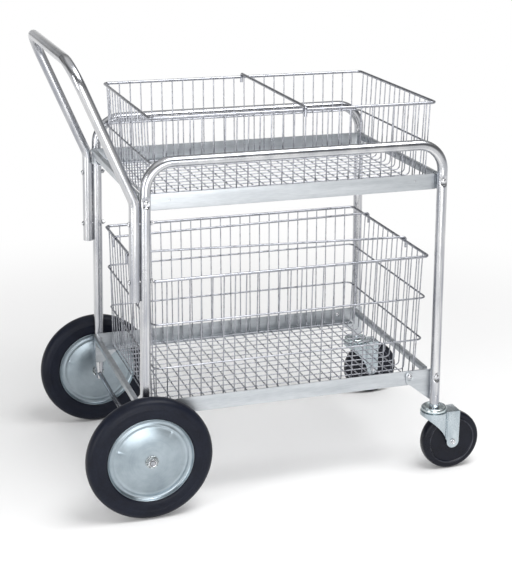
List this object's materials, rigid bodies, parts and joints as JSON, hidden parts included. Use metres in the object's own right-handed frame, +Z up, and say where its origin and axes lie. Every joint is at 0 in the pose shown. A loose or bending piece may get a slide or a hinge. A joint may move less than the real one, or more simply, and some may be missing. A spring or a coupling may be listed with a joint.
{
  "type": "mail cart",
  "caption": "Push cart of bent steel tube with wire baskets on sheet-metal decks, a rear push handle, large rear wheels on a through axle and swivel casters in front.",
  "frame": {"origin": "on the floor under the middle of the cart's bounding box", "axes": "+X is the way the cart is pushed, from the handle to the casters; +Y is to the left of the person who pushes it; +Z is up"},
  "size_m": [1.0393, 0.6724, 1.0937],
  "materials": {
    "chrome_tube": "bright plated tube with long soft streaks",
    "zinc_sheet": "satin zinc plate, light blue-grey",
    "bright_wire": "bright zinc plated wire",
    "zinc_disc": "zinc plated pressing, satin blue-grey",
    "zinc_caster": "bright zinc plated pressing",
    "tyre_rubber": "matt black rubber",
    "hard_rubber": "satin black hard rubber",
    "zinc_fastener": "bright zinc plated",
    "axle_steel": "plain drawn steel"
  },
  "bodies": {
    "chassis": {"side_frame_left": "chrome_tube", "side_frame_right": "chrome_tube", "push_handle": "chrome_tube", "handle_bolt_lower_left": "zinc_fastener", "handle_nut_lower_left": "zinc_fastener", "handle_bolt_lower_right": "zinc_fastener", "handle_nut_lower_right": "zinc_fastener", "handle_bolt_upper_left": "zinc_fastener", "handle_nut_upper_left": "zinc_fastener", "handle_bolt_upper_right": "zinc_fastener", "handle_nut_upper_right": "zinc_fastener", "upper_deck_frame": "zinc_sheet", "lower_deck_frame": "zinc_sheet", "upper_rivet_rear_left": "zinc_fastener", "leg_rivet_rear_left": "zinc_fastener", "gusset_rivet_rear_left": "zinc_fastener", "gusset_rear_left": "zinc_sheet", "upper_rivet_rear_right": "zinc_fastener", "leg_rivet_rear_right": "zinc_fastener", "gusset_rivet_rear_right": "zinc_fastener", "gusset_rear_right": "zinc_sheet", "upper_rivet_front_left": "zinc_fastener", "leg_rivet_front_left": "zinc_fastener", "gusset_rivet_front_left": "zinc_fastener", "gusset_front_left": "zinc_sheet", "upper_rivet_front_right": "zinc_fastener", "leg_rivet_front_right": "zinc_fastener", "gusset_rivet_front_right": "zinc_fastener", "gusset_front_right": "zinc_sheet", "rear_axle": "axle_steel", "axle_cap_left": "zinc_fastener", "caster_stem_left": "zinc_caster", "caster_raceway_left": "zinc_caster", "axle_cap_right": "zinc_fastener", "caster_stem_right": "zinc_caster", "caster_raceway_right": "zinc_caster"},
    "upper_basket_body": {"upper_basket": "bright_wire"},
    "lower_basket_body": {"lower_basket": "bright_wire"},
    "divider": {"basket_divider": "bright_wire"},
    "file_rod_body_left": {"file_rod_left": "bright_wire"},
    "file_rod_body_right": {"file_rod_right": "bright_wire"},
    "rear_wheel_left": {"rear_tyre_left": "tyre_rubber", "wheel_disc_outer_left": "zinc_disc", "wheel_disc_inner_left": "zinc_disc", "wheel_hub_left": "axle_steel"},
    "rear_wheel_right": {"rear_tyre_right": "tyre_rubber", "wheel_disc_outer_right": "zinc_disc", "wheel_disc_inner_right": "zinc_disc", "wheel_hub_right": "axle_steel"},
    "caster_swivel_left": {"caster_fork_left": "zinc_caster", "caster_bolt_left": "zinc_fastener", "caster_nut_left": "zinc_fastener"},
    "caster_roller_left": {"caster_wheel_left": "hard_rubber"},
    "caster_swivel_right": {"caster_fork_right": "zinc_caster", "caster_bolt_right": "zinc_fastener", "caster_nut_right": "zinc_fastener"},
    "caster_roller_right": {"caster_wheel_right": "hard_rubber"}
  },
  "joints": [
    {"name": "upper_basket_lift", "type": "slide", "parent": "chassis", "child": "upper_basket_body", "axis": [0, 0, 1], "range_m": [0, 0.045]},
    {"name": "lower_basket_lift", "type": "slide", "parent": "chassis", "child": "lower_basket_body", "axis": [0, 0, 1], "range_m": [0, 0.045]},
    {"name": "divider_slide", "type": "slide", "parent": "upper_basket_body", "child": "divider", "axis": [1, 0, 0], "range_m": [-0.3, 0.3]},
    {"name": "file_rod_slide_left", "type": "slide", "parent": "lower_basket_body", "child": "file_rod_body_left", "axis": [0, 1, 0], "range_m": [-0.09, 0.07]},
    {"name": "file_rod_slide_right", "type": "slide", "parent": "lower_basket_body", "child": "file_rod_body_right", "axis": [0, 1, 0], "range_m": [-0.12, 0.045]},
    {"name": "rear_wheel_spin_left", "type": "hinge", "parent": "chassis", "child": "rear_wheel_left", "pos_m": [-0.35804, 0.3027, 0.153], "axis": [0, 1, 0], "continuous": true},
    {"name": "rear_wheel_spin_right", "type": "hinge", "parent": "chassis", "child": "rear_wheel_right", "pos_m": [-0.35804, -0.3027, 0.153], "axis": [0, 1, 0], "continuous": true},
    {"name": "caster_swivel_turn_left", "type": "hinge", "parent": "chassis", "child": "caster_swivel_left", "pos_m": [0.3955, 0.263, 0.16], "axis": [0, 0, 1], "continuous": true},
    {"name": "caster_roll_left", "type": "hinge", "parent": "caster_swivel_left", "child": "caster_roller_left", "pos_m": [0.442, 0.263, 0.0777], "axis": [0, 1, 0], "continuous": true},
    {"name": "caster_swivel_turn_right", "type": "hinge", "parent": "chassis", "child": "caster_swivel_right", "pos_m": [0.3955, -0.263, 0.16], "axis": [0, 0, 1], "continuous": true},
    {"name": "caster_roll_right", "type": "hinge", "parent": "caster_swivel_right", "child": "caster_roller_right", "pos_m": [0.442, -0.263, 0.0777], "axis": [0, 1, 0], "continuous": true}
  ]
}
